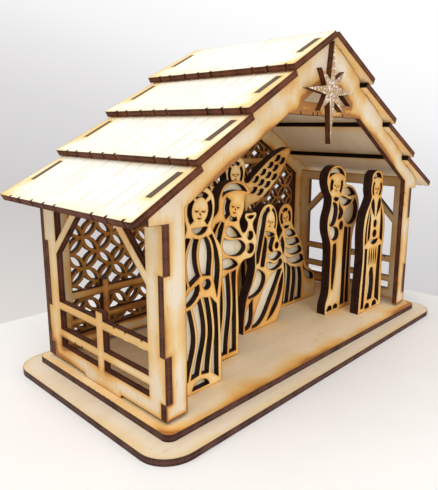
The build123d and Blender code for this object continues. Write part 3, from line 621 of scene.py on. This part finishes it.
planks["hot"] = plankHeat
planks["face"] = makeFace("plankFace", planks)
planks["edge"] = makeEdge("plankEdge", planks, planks["lapShade"])
planks["under"] = makeFace(
    "plankUnder", dict(frames, pale=planks["underPale"], tan=planks["underTan"]))
# the top planks' cuts are made without the painted lap shade
ridgePlanks = dict(planks, edge=makeEdge("ridgeEdge", planks))


def onSheet(points, rim, spot):
    crossed = 0
    for a, b in rim:
        p, q = points[a], points[b]
        if (p.y > spot.y) != (q.y > spot.y):
            crossed += spot.x < p.x + (q.x - p.x) * (spot.y - p.y) / (q.y - p.y)
    return crossed % 2 == 1


def freeRuns(points, rim, tree, y, low, high):
    # stretches of one board line that stay clear of the cuts
    runs, start, x = [], None, low
    while x < high:
        spot = Vector((x, y))
        if cutGap(tree, spot) > planks["lineClear"] and onSheet(points, rim, spot):
            start = x if start is None else start
        elif start is not None:
            runs.append((start, x - 1))
            start = None
        x += 1
    return runs


def boardLines(seed):
    # dashes along each board line: a shallow groove between two straight edges
    def groove(points, lines, sunk, start, end, y):
        count = max(2, int((end - start) / planks["dashStep"]))
        first = len(points)
        points.append(Vector((start, y)))
        for k in range(1, count):
            x = start + (end - start) * k / count
            sunk[len(points)] = planks["lineDepth"]
            for side in (0, 0.5, -0.5):
                points.append(Vector((x, y + side * planks["lineWidth"])))
        last = len(points)
        points.append(Vector((end, y)))
        for track in (1, 2, 3):
            chain = [first] + list(range(first + track, last, 3)) + [last]
            lines.extend(zip(chain, chain[1:]))

    def cut(points, rim, tree):
        low, high = min(p.x for p in points), max(p.x for p in points)
        front, back = min(p.y for p in points), max(p.y for p in points)
        pitch, wander = planks["pitch"], planks["lineWander"]
        lines, sunk = [], {}
        for line in range(int((back - front - planks["firstLine"]) / pitch) + 1):
            y = front + planks["firstLine"] + (line + seed.uniform(-wander, wander)) * pitch
            for start, end in freeRuns(points, rim, tree, y, low + 0.5, high):
                start += seed.uniform(0, planks["dashStart"])
                while start < end - planks["dashLeast"]:
                    stop = min(start + seed.uniform(*planks["dash"]), end)
                    groove(points, lines, sunk, start, stop, y)
                    start = stop + seed.uniform(*planks["dashGap"])
        return lines, sunk
    return cut


def plankFacing(name):
    # the plank's upper face is its largest one that looks up
    faces = [face for face in nodes[name].data.polygons if face.normal.z > 0.3]
    return max(faces, key=lambda face: face.area).normal.copy()


for side in ("left", "right"):
    for row in range(1, planks["rows"] + 1):
        name = f"roof_plank_{side}_{row}"
        look = ridgePlanks if row == 1 else planks
        makeSheet(name, plankFacing(name), alongY, look, boardLines(random.Random(name)))
print("roof planks made")

# layered figures: a cut front over a plain backing
figures = {
    "pale": srgb(246, 222, 176), "tan": srgb(234, 200, 146), "char": sootBlack,
    "reach": 4.5, "burn": 0.75, "edgeDark": srgb(24, 14, 12), "edgeWarm": srgb(58, 35, 30),
    "step": 1.3, "band": 6.0, "slot": "figure_plywood",
}
figures["face"] = makeFace("figureFace", figures)
figures["edge"] = makeEdge("figureEdge", figures)
# the backings are painted paler than the fronts, as painted light in the recesses behind the cuts
backings = dict(figures, pale=srgb(248, 235, 210), tan=srgb(236, 216, 184), step=1.8)
backings["face"] = makeFace("backingFace", backings)
for name in sorted(nodes):
    if name.endswith("_backing"):
        makeSheet(name, -alongY, upZ, backings)
        makeSheet(name.replace("_backing", "_front"), -alongY, upZ, figures)
print("figures made")

# star with glitter on its face
star = {
    "silver": srgb(196, 166, 130), "gold": srgb(180, 132, 74), "spark": srgb(252, 248, 240),
    "dull": srgb(120, 92, 66), "edgeDark": srgb(52, 26, 16), "edgeWarm": srgb(104, 60, 38),
    "flake": 1700, "roughness": 0.35, "specular": 0.5, "bump": 0.6, "bumpHeight": 0.0004,
    "burn": 0.0, "step": 1.2, "band": 9.0, "slot": "glitter_star",
}


def makeGlitter():
    material, tree, shader = startMaterial("starGlitter", star)
    inputs = {"Vector": sheetPlace(tree), "Scale": star["flake"]}
    flakes = addNode(
        tree, "ShaderNodeTexVoronoi", inputs, feature="F1", voronoi_dimensions="2D")
    pick = addNode(tree, "ShaderNodeSeparateColor", {"Color": flakes.outputs["Color"]})
    red, green, blue = (pick.outputs[name] for name in ("Red", "Green", "Blue"))
    colour = mixColour(tree, remap(tree, red, 0.3, 0.7), star["silver"], star["gold"])
    colour = mixColour(tree, remap(tree, green, 0.8, 0.86), colour, star["spark"])
    colour = mixColour(tree, remap(tree, blue, 0.2, 0.3, 0.55, 0.0), colour, star["dull"])
    tree.links.new(colour, shader.inputs["Base Color"])
    tree.links.new(remap(tree, green, 0.5, 0.9, 0.2, 0.7), shader.inputs["Metallic"])
    addBump(tree, shader, red, star)
    return material


star["face"] = makeGlitter()
star["edge"] = makeEdge("starEdge", star)
makeSheet("star", -alongY, upZ, star)
print("star made")

# white table that ends behind the object and to its right
ground = {
    "reach": 3.0, "backEdge": 0.127, "rightEdge": 0.15, "table": srgb(249, 247, 244),
    "mottle": (40, 40, 40), "mottleRange": (0.985, 1.0), "roughness": 0.7, "specular": 0.2,
}


def makeGround():
    mesh = bpy.data.meshes.new("ground")
    left, right, back = -ground["reach"], ground["rightEdge"], ground["backEdge"]
    corners = [(left, left, 0), (right, left, 0), (right, back, 0), (left, back, 0)]
    mesh.from_pydata(corners, [], [(0, 1, 2, 3)])
    material, tree, shader = startMaterial("tableWhite", ground)
    spot = addNode(tree, "ShaderNodeTexCoord").outputs["Object"]
    noise = stretchedNoise(tree, spot, ground["mottle"], 3)
    mottle = remap(tree, noise, 0.3, 0.7, *ground["mottleRange"])
    inputs = {"Color": ground["table"], "Value": mottle}
    mottled = addNode(tree, "ShaderNodeHueSaturation", inputs)
    tree.links.new(mottled.outputs[0], shader.inputs["Base Color"])
    mesh.materials.append(material)
    floor = bpy.data.objects.new("ground", mesh)
    scene.collection.objects.link(floor)


makeGround()

# soft studio light: an even surround and three wide lamps, in front of a wall with painted shade
# that pales upwards and to the right; each lamp has its place, aim, size and power
light = {
    "surround": 0.54, "wallRight": (0.65, -0.76, 0), "wallTurn": 0.28, "wallMiddle": 0.47,
    "wallFoot": 0.4, "wallHeight": 0.8,
    "wall": (
        (0.09, srgb(224, 219, 215)), (0.2, srgb(215, 211, 208)), (0.34, srgb(205, 202, 201)),
        (0.46, srgb(213, 211, 212)), (0.59, srgb(222, 220, 221)), (0.68, srgb(232, 230, 231)),
        (0.8, srgb(246, 246, 247)), (0.93, srgb(255, 255, 255)),
    ),
    "lamps": (
        ("overhead", (-0.5, 0.05, 1.1), (-0.05, 0, 0.05), 1.2, 8.2),
        ("front", (-0.35, -0.95, 0.9), (0, 0, 0.05), 0.9, 2.5),
        ("low", (-0.1, -1.2, 0.3), (0, 0, 0.06), 0.7, 3.5),
    ),
}


def paintWall(tree):
    # painted shade of the wall along a ray, by its rise and its turn to the right
    ray = addNode(tree, "ShaderNodeTexCoord").outputs["Generated"]
    rise = addNode(tree, "ShaderNodeSeparateXYZ", {"Vector": ray}).outputs["Z"]
    inputs = {0: ray, 1: light["wallRight"]}
    along = addNode(tree, "ShaderNodeVectorMath", inputs, operation="DOT_PRODUCT")
    turned = calculate(tree, "ADD", along.outputs["Value"], light["wallMiddle"])
    turned = calculate(tree, "MULTIPLY", turned, light["wallTurn"])
    place = calculate(tree, "ADD", rise, turned)
    place = calculate(tree, "ADD", place, light["wallFoot"])
    return ramp(tree, calculate(tree, "DIVIDE", place, light["wallHeight"]), light["wall"])


def makeLight():
    world = bpy.data.worlds.new("studio")
    scene.world = world
    world.use_nodes = True
    tree = world.node_tree
    path = addNode(tree, "ShaderNodeLightPath").outputs
    seen = calculate(tree, "MAXIMUM", path["Is Camera Ray"], path["Is Glossy Ray"])
    seen = calculate(tree, "MAXIMUM", seen, path["Is Transmission Ray"])
    inputs = {"Color": (1, 1, 1, 1), "Strength": light["surround"]}
    plain = addNode(tree, "ShaderNodeBackground", inputs)
    inputs = {"Color": paintWall(tree), "Strength": 1.0}
    shown = addNode(tree, "ShaderNodeBackground", inputs)
    inputs = {0: seen, 1: plain.outputs[0], 2: shown.outputs[0]}
    mix = addNode(tree, "ShaderNodeMixShader", inputs)
    tree.links.new(mix.outputs[0], tree.nodes["World Output"].inputs["Surface"])
    for name, place, aim, size, power in light["lamps"]:
        data = bpy.data.lights.new(name, "AREA")
        data.size = size
        data.energy = power
        lamp = bpy.data.objects.new(name, data)
        scene.collection.objects.link(lamp)
        lamp.location = place
        away = Vector(place) - Vector(aim)
        lamp.rotation_euler = away.to_track_quat("Z", "Y").to_euler()


makeLight()
print("stage and light made")
